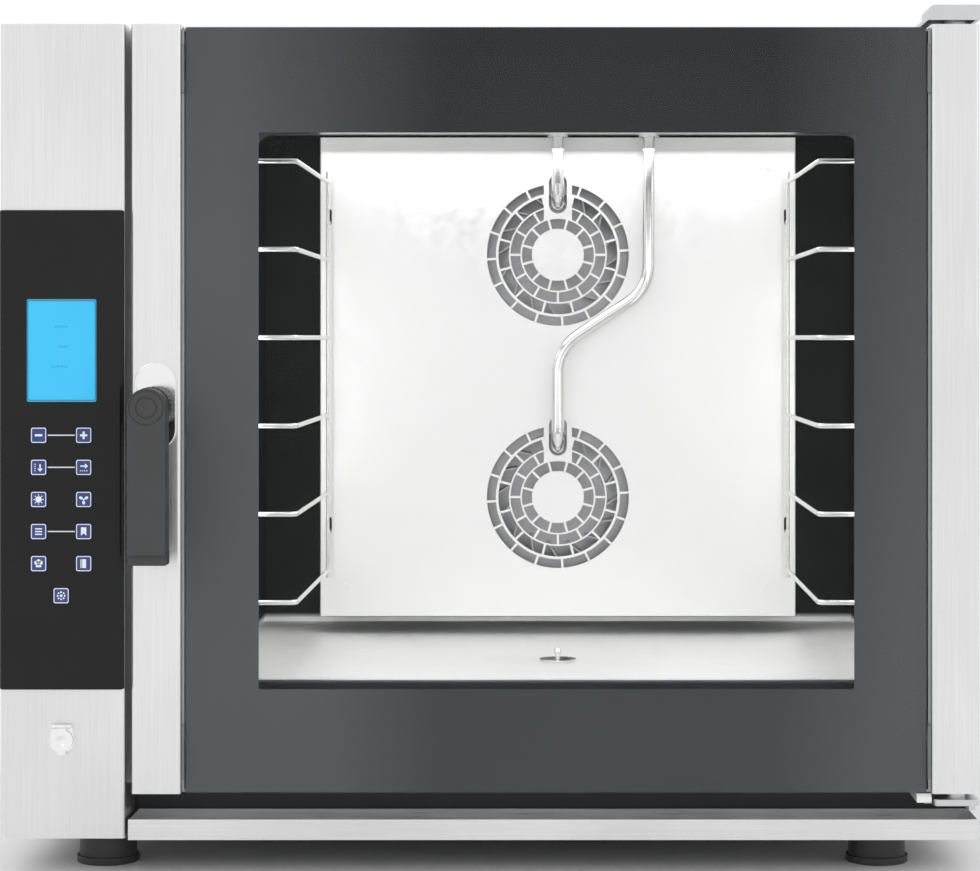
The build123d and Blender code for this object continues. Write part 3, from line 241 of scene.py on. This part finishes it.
def wool_finish():
    """Loose mineral fibre, matted in layers."""
    material, tree, shader = blank("wool")
    fibres = noise(tree, (260.0, 260.0, 900.0), 8.0, 0.75)
    tint = blend_colours(tree, remap(tree, fibres, 0.0, 1.0), (0.52, 0.44, 0.26), (0.78, 0.72, 0.52))
    tree.links.new(tint, shader.inputs["Base Color"])
    shader.inputs["Roughness"].default_value = 0.95
    shader.inputs["Sheen Weight"].default_value = 0.4
    bump(tree, shader, fibres, 0.9, 0.002)
    return material


def board_finish():
    """Green solder mask with copper runs showing through it."""
    material, tree, shader = blank("board")
    runs = noise(tree, (30.0, 420.0, 60.0), 1.0, 0.4)
    lines = remap(tree, runs, 0.0, 1.0, 0.52, 0.55)
    tint = blend_colours(tree, lines, (0.012, 0.10, 0.035), (0.03, 0.22, 0.07))
    tree.links.new(tint, shader.inputs["Base Color"])
    tree.links.new(remap(tree, lines, 0.35, 0.22, 0.0, 1.0), shader.inputs["Roughness"])
    bump(tree, shader, lines, 0.3, 0.00008)
    return material


def finish_nodes():
    """Every node of the frame gets its finish."""
    upright = steel("steel_upright", STEEL_WHITE, 0.33, GRAIN_UP, relief=0.3, cloud=0.12)
    across = steel("steel_across", STEEL_WHITE, 0.33, GRAIN_ACROSS, relief=0.3, cloud=0.12)
    panels = steel("steel_panels", (0.66, 0.665, 0.67), 0.36, GRAIN_DEEP)
    polished = steel("steel_polished", (0.86, 0.86, 0.86), 0.13, relief=0.03, cloud=0.03, spread=0.03)
    wires = steel("rack_wire", (0.80, 0.80, 0.79), 0.22, relief=0.05)
    baffle = steel("baffle_sheet", (0.93, 0.93, 0.925), 0.42, relief=0.06, cloud=0.025)
    fans = steel("fan_sheet", (0.50, 0.50, 0.51), 0.38)
    sheath = steel("heater_sheath", (0.16, 0.13, 0.12), 0.5, cloud=0.25)
    cast = steel("cast_grey", (0.42, 0.43, 0.45), 0.5, relief=0.5)
    bracket = steel("bracket_satin", (0.62, 0.63, 0.64), 0.36)
    pan = steel("door_pan", (0.34, 0.35, 0.36), 0.4)
    cavity = cavity_finish()
    basin = steel("basin_sheet", STEEL_BRIGHT, 0.52, relief=0.1, cloud=0.08)
    basin.node_tree.nodes["Principled BSDF"].inputs["Metallic"].default_value = 0.35
    finishes = {
        upright: ["door_left_stile", "door_right_stile", "column_fascia"],
        across: ["drip_gutter"],
        panels: ["left_side_panel", "right_side_panel", "top_cover", "rear_panel"],
        bracket: ["top_hinge_bracket", "bottom_hinge_bracket"],
        polished: ["probe_socket", "probe_cap", "handle_escutcheon", "latch_cam", "strike_plate",
                   "steam_pipes", "vent_chimney", "drain_strainer"],
        wires: ["rack_left", "rack_right"],
        baffle: ["fan_baffle"],
        cavity: ["cavity_shell", "mouth_frame"],
        basin: ["cavity_floor"],
        fans: ["fan_upper", "fan_lower"],
        sheath: ["heating_elements"],
        cast: ["fan_motors"],
        pan: ["door_frame"],
        # Painted shade: the whole base chassis is made near black to stand for the shade in the recess under the
        # door.
        plastic("base_painted_shade", (0.045, 0.048, 0.052), 0.5, relief=0.3): ["base_chassis"],
        plastic("panel_film", (0.0085, 0.0085, 0.0095), 0.24, relief=0.04, coat=0.12, gloss=0.18): ["control_panel_housing"],
        plastic("key_film", (0.012, 0.035, 0.19), 0.25, relief=0.05, coat=0.4): [n for n in NODES if n.startswith("key_")],
        plastic("lever_plastic", (0.040, 0.041, 0.043), 0.44, grain=1700.0, relief=0.7): ["handle_lever"],
        plastic("foot_rubber", (0.036, 0.036, 0.037), 0.5, relief=0.4): [n for n in NODES if n.startswith("foot_")],
        plastic("gasket_silicone", (0.045, 0.052, 0.06), 0.5, relief=0.3): ["door_gasket"],
        plastic("spacer_rubber", (0.16, 0.165, 0.17), 0.55): ["glass_spacers"],
        plastic("white_nylon", (0.84, 0.84, 0.82), 0.4, cloud=0.04): ["door_rest_pad", "door_bushes"],
        plastic("pipe_plastic", (0.24, 0.25, 0.27), 0.45): ["drain_pipe"],
        plastic("valve_nylon", (0.74, 0.74, 0.71), 0.4, cloud=0.05): ["water_valve"],
        plastic("gland_nylon", (0.016, 0.016, 0.016), 0.38): ["cable_gland"],
        clear_glass("door_pane", (0.05, 0.06, 0.06), 0.05): ["outer_glass", "inner_glass"],
        glowing("screen_back", (0.055, 0.50, 0.84), 0.12): ["display_module"],
        wool_finish(): ["insulation"],
        board_finish(): ["circuit_boards"],
    }
    finished = set()
    for material, names in finishes.items():
        for name in names:
            for slot in NODES[name].material_slots:
                slot.material = material
            finished.add(name)
    missing = set(NODES) - finished
    if missing:
        raise ValueError(f"nodes with no finish: {sorted(missing)}")


# ---- mesh building blocks --------------------------------------------------------------
def add_mesh(name, build, material, body, smooth=False):
    """A piece made by filling a bmesh; it rides on a body."""
    shape = bmesh.new()
    build(shape)
    data = bpy.data.meshes.new(name)
    bmesh.ops.recalc_face_normals(shape, faces=shape.faces)
    shape.to_mesh(data)
    shape.free()
    data.materials.append(material)
    for face in data.polygons:
        face.use_smooth = smooth
    piece = bpy.data.objects.new(name, data)
    bpy.context.collection.objects.link(piece)
    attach(piece, body)
    return piece


def rounded_outline(x_span, z_span, radius, steps=6):
    """Corner points of a rounded rectangle, anticlockwise seen from the front."""
    points = []
    corners = (
        (x_span[1] - radius, z_span[1] - radius, 0.0),
        (x_span[0] + radius, z_span[1] - radius, pi / 2),
        (x_span[0] + radius, z_span[0] + radius, pi),
        (x_span[1] - radius, z_span[0] + radius, 1.5 * pi),
    )
    for x, z, start in corners:
        for step in range(steps + 1):
            angle = start + step * pi / 2 / steps
            points.append((x + radius * cos(angle), z + radius * sin(angle)))
    return points


def plate(shape, outline, front, back):
    """A flat plate with that outline, between two values of Y."""
    near = [shape.verts.new((x, front, z)) for x, z in outline]
    far = [shape.verts.new((x, back, z)) for x, z in outline]
    shape.faces.new(near)
    shape.faces.new(list(reversed(far)))
    count = len(outline)
    for i in range(count):
        j = (i + 1) % count
        shape.faces.new((near[i], far[i], far[j], near[j]))


def frame_plate(shape, outer, inner, front, back):
    """A flat plate with a hole; both outlines have the same number of points."""
    rings = [[shape.verts.new((x, y, z)) for x, z in line] for line in (outer, inner) for y in (front, back)]
    outer_near, outer_far, inner_near, inner_far = rings
    count = len(outer)
    for i in range(count):
        j = (i + 1) % count
        shape.faces.new((outer_near[i], outer_near[j], inner_near[j], inner_near[i]))
        shape.faces.new((outer_far[i], inner_far[i], inner_far[j], outer_far[j]))
        shape.faces.new((outer_near[i], outer_far[i], outer_far[j], outer_near[j]))
        shape.faces.new((inner_near[i], inner_near[j], inner_far[j], inner_far[i]))


def disc_outline(x, z, radius, steps=28, start=0.0, stretch=1.0):
    """Points round a circle or an ellipse."""
    return [
        (x + radius * cos(start + 2 * pi * i / steps), z + stretch * radius * sin(start + 2 * pi * i / steps))
        for i in range(steps)
    ]


# ---- door glass print ------------------------------------------------------------------
WINDOW_X = (-0.2214, 0.3483)
WINDOW_Z = (0.182, 0.7146)
PRINT_THICKNESS = 0.0003


def print_finish():
    """Grey ceramic print, with a painted reflection making it paler towards its sides and its bottom."""
    material, tree, shader = blank("glass_print")
    place = tree.nodes.new("ShaderNodeTexCoord")
    split = tree.nodes.new("ShaderNodeSeparateXYZ")
    tree.links.new(place.outputs["Object"], split.inputs["Vector"])
    low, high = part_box("outer_glass")
    middle = (low[0] + high[0]) / 2 + 0.05
    # Painted reflection: the print's colour gets paler away from the middle and towards the bottom edge.
    offset = combine(tree, "ABSOLUTE", combine(tree, "SUBTRACT", split.outputs["X"], middle), 0.0)
    side_reflection = remap(tree, offset, 0.0, 0.85, 0.16, (high[0] - low[0]) / 2)
    low_reflection = remap(tree, split.outputs["Z"], 0.55, 0.0, low[2], high[2])
    cloud = remap(tree, noise(tree, (4.0, 4.0, 4.0), 2.0, 0.4), -0.04, 0.04)
    total = combine(tree, "ADD", combine(tree, "ADD", side_reflection, low_reflection), cloud)
    tint = blend_colours(tree, total, (0.024, 0.025, 0.026), (0.105, 0.113, 0.122))
    tree.links.new(tint, shader.inputs["Base Color"])
    dots = noise(tree, (1800.0, 1800.0, 1800.0), 1.0, 0.5)
    tree.links.new(remap(tree, dots, 0.28, 0.36), shader.inputs["Roughness"])
    shader.inputs["Specular IOR Level"].default_value = 0.1
    bump(tree, shader, dots, 0.05, 0.00002)
    return material


def add_glass_print():
    """The opaque border printed on the back of the outer pane."""
    low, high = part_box("outer_glass")
    inset = 0.0006
    outer = rounded_outline((low[0] + inset, high[0] - inset), (low[2] + inset, high[2] - inset), 0.0015)
    window = rounded_outline(WINDOW_X, WINDOW_Z, 0.0012)
    front = high[1] + 0.00005
    add_mesh(
        "glass_print",
        lambda shape: frame_plate(shape, outer, window, front, front + PRINT_THICKNESS),
        print_finish(),
        "door",
    )


# ---- control panel: screen, key outlines and icons -------------------------------------
INK_RISE = 0.00012


def rectangle(x, z, width, height):
    """Corner points of a rectangle about its centre, in millimetres."""
    return [
        (x + width / 2, z + height / 2),
        (x - width / 2, z + height / 2),
        (x - width / 2, z - height / 2),
        (x + width / 2, z - height / 2),
    ]


def turned(outline, angle):
    """An outline turned about the middle of its key."""
    c, s = cos(radians(angle)), sin(radians(angle))
    return [(x * c - z * s, x * s + z * c) for x, z in outline]


def arrow(angle):
    """A stem and a head pointing up, turned by the angle."""
    head = [(0.0, 4.2), (-2.6, 1.2), (2.6, 1.2)]
    return [turned(rectangle(0.0, -0.9, 1.3, 4.4), angle), turned(head, angle)]


def dots(x, z, step_x, step_z, count):
    """A row of small square dots."""
    return [rectangle(x + i * step_x, z + i * step_z, 1.0, 1.0) for i in range(count)]


def blades(count, reach, width):
    """Petals of a fan round a hub."""
    petal = [(x + reach * 0.62, z) for x, z in disc_outline(0.0, 0.0, reach * 0.4, 16, 0.0, width)]
    return [turned(petal, 30.0 + i * 360.0 / count) for i in range(count)]


ICONS = {
    "key_minus": [rectangle(0.0, 0.0, 7.0, 2.0)],
    "key_plus": [rectangle(0.0, 0.0, 7.0, 2.0), rectangle(0.0, 2.3, 2.0, 2.6), rectangle(0.0, -2.3, 2.0, 2.6)],
    "key_step": [turned(part, 0.0) for part in dots(-3.4, -3.0, 0.0, 2.0, 4)]
    + [[(x + 1.4, z) for x, z in part] for part in arrow(180.0)],
    "key_select": dots(-3.0, -3.2, 2.0, 0.0, 4) + [[(x, z + 1.2) for x, z in part] for part in arrow(-90.0)],
    "key_temperature": [disc_outline(0.0, 0.0, 3.0)]
    + [turned(rectangle(0.0, 4.2, 0.9, 1.3), i * 45.0) for i in range(8)],
    "key_fan": blades(3, 4.8, 0.72) + [disc_outline(0.0, 0.0, 0.9, 14)],
    "key_program": [rectangle(0.0, z, 6.6, 1.2) for z in (-2.6, 0.0, 2.6)],
    "key_memory": [[(-2.6, 4.0), (-2.6, -4.0), (0.0, -1.6), (2.6, -4.0), (2.6, 4.0)]],
    "key_steam": [
        disc_outline(-2.2, 0.9, 1.9, 18),
        disc_outline(2.2, 0.9, 1.9, 18),
        disc_outline(0.0, 2.1, 2.1, 18),
        rectangle(0.0, -2.4, 5.2, 2.0),
    ],
    "key_door": [rectangle(-2.6, 0.0, 0.9, 8.4), rectangle(0.4, 0.0, 3.8, 8.4)],
    "key_start_stop": [disc_outline(0.0, 0.0, 1.3, 18)]
    + [turned(rectangle(0.0, 3.4, 1.6, 1.4), i * 45.0) for i in range(8)],
}
LINKED_KEYS = (("key_minus", "key_plus"), ("key_step", "key_select"), ("key_program", "key_memory"))


def ink_finish():
    """Pale printed ink, slightly uneven."""
    return plastic("pale_ink", (0.80, 0.84, 0.90), 0.35, relief=0.05, cloud=0.05)


def middle_of(node):
    """Middle of a node's box."""
    low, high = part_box(node)
    return [(a + b) / 2 for a, b in zip(low, high)]


def add_key_ink(ink):
    """Each key's outline and icon ride with the key."""
    for key, outlines in ICONS.items():
        low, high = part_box(key)
        x, _, z = middle_of(key)
        front = low[1]

        def build(shape, low=low, high=high, x=x, z=z, front=front, outlines=outlines):
            edge = 0.0005
            line = 0.0008
            outer = rounded_outline((low[0] + edge, high[0] - edge), (low[2] + edge, high[2] - edge), 0.0018)
            inset = edge + line
            inner = rounded_outline((low[0] + inset, high[0] - inset), (low[2] + inset, high[2] - inset), 0.0012)
            frame_plate(shape, outer, inner, front - INK_RISE, front + INK_RISE)
            for outline in outlines:
                placed = [(x + px * MM, z + pz * MM) for px, pz in outline]
                plate(shape, placed, front - INK_RISE, front + INK_RISE)

        add_mesh(f"ink_{key}", build, ink, key)


def add_key_links(ink):
    """Lines on the panel that join keys working as a pair."""
    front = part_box("control_panel_housing")[0][1]
    half_line = 0.0005
    gap = 0.0009

    def build(shape):
        for left, right in LINKED_KEYS:
            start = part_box(left)[1][0] + gap
            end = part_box(right)[0][0] - gap
            z = middle_of(left)[2]
            outline = [(end, z + half_line), (start, z + half_line), (start, z - half_line), (end, z - half_line)]
            plate(shape, outline, front - INK_RISE, front + INK_RISE)

    add_mesh("key_links", build, ink, "cabinet")


def add_screen():
    """The lit area of the display under its lens, with faint idle marks."""
    low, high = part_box("display_module")
    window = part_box("control_panel_housing")
    x_span = (window[0][0] + 0.0265, window[1][0] - 0.0265)
    front = low[1]
    centre_x = middle_of("display_module")[0]
    half = 0.0325
    z_span = (low[2] + 0.0044, high[2] - 0.0044)
    marks = plastic("screen_marks", (0.05, 0.33, 0.62), 0.3, relief=0.05, cloud=0.05)

    def build_marks(shape):
        for row, (width, shift) in enumerate(((0.013, 0.0), (0.010, 0.002), (0.016, -0.001))):
            z = z_span[1] - 0.025 - row * 0.019
            for dash in range(4):
                start = centre_x + shift - width / 2 + dash * width / 4
                plate(
                    shape,
                    [(start + width / 6, z + 0.0007), (start, z + 0.0007), (start, z - 0.0007), (start + width / 6, z - 0.0007)],
                    front - INK_RISE,
                    front + INK_RISE,
                )

    add_mesh("screen_marks", build_marks, marks, "cabinet")
    rim = plastic("screen_rim", (0.02, 0.16, 0.30), 0.3, relief=0.05, cloud=0.05)
    outer = rounded_outline((centre_x - half, centre_x + half), z_span, 0.0022)
    inner = rounded_outline((centre_x - half + 0.0007, centre_x + half - 0.0007), (z_span[0] + 0.0007, z_span[1] - 0.0007), 0.0018)
    add_mesh(
        "screen_rim",
        lambda shape: frame_plate(shape, outer, inner, front - INK_RISE, front + INK_RISE),
        rim,
        "cabinet",
    )


# ---- fasteners and turned details ------------------------------------------------------
SCREW_WASHER = 0.0052
SCREW_HEAD = 0.0038


def lathe(shape, origin, axis, profile, steps=24):
    """A closed turned solid; the profile is pairs of distance along the axis and radius."""
    direction = Vector(axis).normalized()
    side = direction.orthogonal().normalized()
    across = direction.cross(side)
    rings = []
    for along, radius in profile:
        centre = Vector(origin) + along * direction
        ring = []
        for i in range(steps):
            angle = 2 * pi * i / steps
            ring.append(shape.verts.new(centre + radius * (cos(angle) * side + sin(angle) * across)))
        rings.append(ring)
    for lower, upper in zip(rings, rings[1:]):
        for i in range(steps):
            j = (i + 1) % steps
            shape.faces.new((lower[i], lower[j], upper[j], upper[i]))
    shape.faces.new(list(reversed(rings[0])))
    shape.faces.new(rings[-1])


def hex_screw(shape, origin, axis):
    """A sheet-metal screw: a washer face under a hexagon head."""
    lathe(shape, origin, axis, [(-0.0004, SCREW_WASHER), (0.0009, SCREW_WASHER), (0.0012, SCREW_WASHER - 0.0005)])
    lathe(shape, origin, axis, [(0.001, SCREW_HEAD), (0.0036, SCREW_HEAD), (0.0042, SCREW_HEAD - 0.0005)], 6)


def spread_along(low, high, count):
    """Evenly spaced values, both ends included."""
    return [low + (high - low) * i / (count - 1) for i in range(count)]


def add_screws(metal):
    """Screws round the rear panel and along the rear edge of the top cover."""
    low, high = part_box("rear_panel")
    inset = 0.012
    places = []
    for x in spread_along(low[0] + inset, high[0] - inset, 6):
        places += [(x, high[1], low[2] + inset), (x, high[1], high[2] - inset)]
    for z in spread_along(low[2] + inset, high[2] - inset, 5)[1:-1]:
        places += [(low[0] + inset, high[1], z), (high[0] - inset, high[1], z)]

    def build_rear(shape):
        for place in places:
            hex_screw(shape, place, (0.0, 1.0, 0.0))

    add_mesh("rear_screws", build_rear, metal, "cabinet")
    cover_low, cover_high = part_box("top_cover")

    def build_top(shape):
        for x in spread_along(cover_low[0] + 0.04, cover_high[0] - 0.04, 5):
            hex_screw(shape, (x, cover_high[1] - inset, cover_high[2]), (0.0, 0.0, 1.0))

    add_mesh("top_screws", build_top, metal, "cabinet")


def add_inlet_threads(material):
    """Thread crests on the two water inlets, where the record says the hoses screw on."""
    pitch = 0.0018
    crest = 0.0003
    root = 0.0004

    def build(shape):
        for mount in frame["record"]["mounts"]:
            if not mount["name"].startswith("water_inlet"):
                continue
            axis = Vector(mount["axis"])
            radius = mount["dims"]["r_mm"] * MM
            length = mount["dims"]["length_mm"] * MM
            start = Vector(mount["pos_m"]) - axis * length / 2
            for i in range(1, int(length / pitch)):
                profile = [(0.0, radius - root), (pitch / 2, radius + crest), (pitch * 0.9, radius - root)]
                lathe(shape, start + axis * i * pitch, axis, profile, 40)

    add_mesh("inlet_threads", build, material, "cabinet")


# ---- light and floor -------------------------------------------------------------------
KEY_POWER = 9.0
FILL_POWER = 3.0
LAMP_POWER = 0.2
CEILING_POWER = 0.02
BASIN_POWER = 1.25
MOUTH_POWER = 0.62
SKY_STRENGTH = 1.0


def add_area(name, location, target, size, power):
    """A soft box that points at a target and doesn't show itself."""
    data = bpy.data.lights.new(name, "AREA")
    data.shape = "RECTANGLE"
    data.size, data.size_y = size
    data.energy = power
    light = bpy.data.objects.new(name, data)
    light.location = location
    light.rotation_euler = (Vector(target) - Vector(location)).to_track_quat("-Z", "Y").to_euler()
    light.visible_camera = False
    bpy.context.collection.objects.link(light)


def add_studio():
    """White surroundings, two soft boxes and lamps inside the mouth of the cavity."""
    world = bpy.data.worlds.new("studio")
    bpy.context.scene.world = world
    world.use_nodes = True
    world.node_tree.nodes["Background"].inputs["Color"].default_value = (1.0, 1.0, 1.0, 1.0)
    world.node_tree.nodes["Background"].inputs["Strength"].default_value = SKY_STRENGTH
    bpy.context.scene.view_settings.view_transform = "Standard"
    middle = (EYE_X, 0.0, 0.45)
    add_area("key_light", (-1.9, -2.4, 2.3), middle, (1.6, 1.6), KEY_POWER)
    add_area("fill_light", (2.2, -2.0, 1.5), middle, (1.4, 1.8), FILL_POWER)
    low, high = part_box("cavity_shell")
    inside = middle_of("fan_baffle")
    lamp_y = low[1] + 0.012
    for side_x in (low[0] + 0.035, high[0] - 0.035):
        add_area("lamp_side", (side_x, lamp_y, inside[2]), (inside[0], high[1], inside[2]), (0.02, 0.42), LAMP_POWER)
    add_area("lamp_top", (inside[0], lamp_y, high[2] - 0.02), (inside[0], high[1], 0.30), (0.5, 0.02), CEILING_POWER)
    add_area("lamp_mouth", (inside[0], lamp_y, inside[2] - 0.06), (inside[0], high[1], inside[2] - 0.06), (0.6, 0.46), MOUTH_POWER)
    basin_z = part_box("cavity_floor")[1][2]
    ceiling_z = high[2] - 0.02
    basin_y = (low[1] + high[1]) / 2
    add_area("lamp_basin", (inside[0], basin_y, ceiling_z), (inside[0], basin_y, basin_z), (0.56, 0.30), BASIN_POWER)


def add_floor():
    """A plain pale floor."""
    material, tree, shader = blank("floor")
    haze = noise(tree, (1.2, 1.2, 1.2), 2.0, 0.5)
    tint = blend_colours(tree, remap(tree, haze, 0.0, 1.0), (0.93, 0.93, 0.93), (0.95, 0.95, 0.95))
    tree.links.new(tint, shader.inputs["Base Color"])
    shader.inputs["Roughness"].default_value = 0.9
    shape = bmesh.new()
    bmesh.ops.create_grid(shape, x_segments=1, y_segments=1, size=12.0)
    data = bpy.data.meshes.new("floor")
    shape.to_mesh(data)
    shape.free()
    data.materials.append(material)
    floor = bpy.data.objects.new("floor", data)
    bpy.context.collection.objects.link(floor)


# ---- build -----------------------------------------------------------------------------
add_camera()
add_studio()
add_floor()
finish_nodes()
add_glass_print()
ink = ink_finish()
add_key_ink(ink)
add_key_links(ink)
add_screen()
screw_steel = steel("screw_steel", (0.62, 0.62, 0.61), 0.3, relief=0.05)
add_screws(screw_steel)
add_inlet_threads(plastic("thread_nylon", (0.74, 0.74, 0.71), 0.4, cloud=0.05))
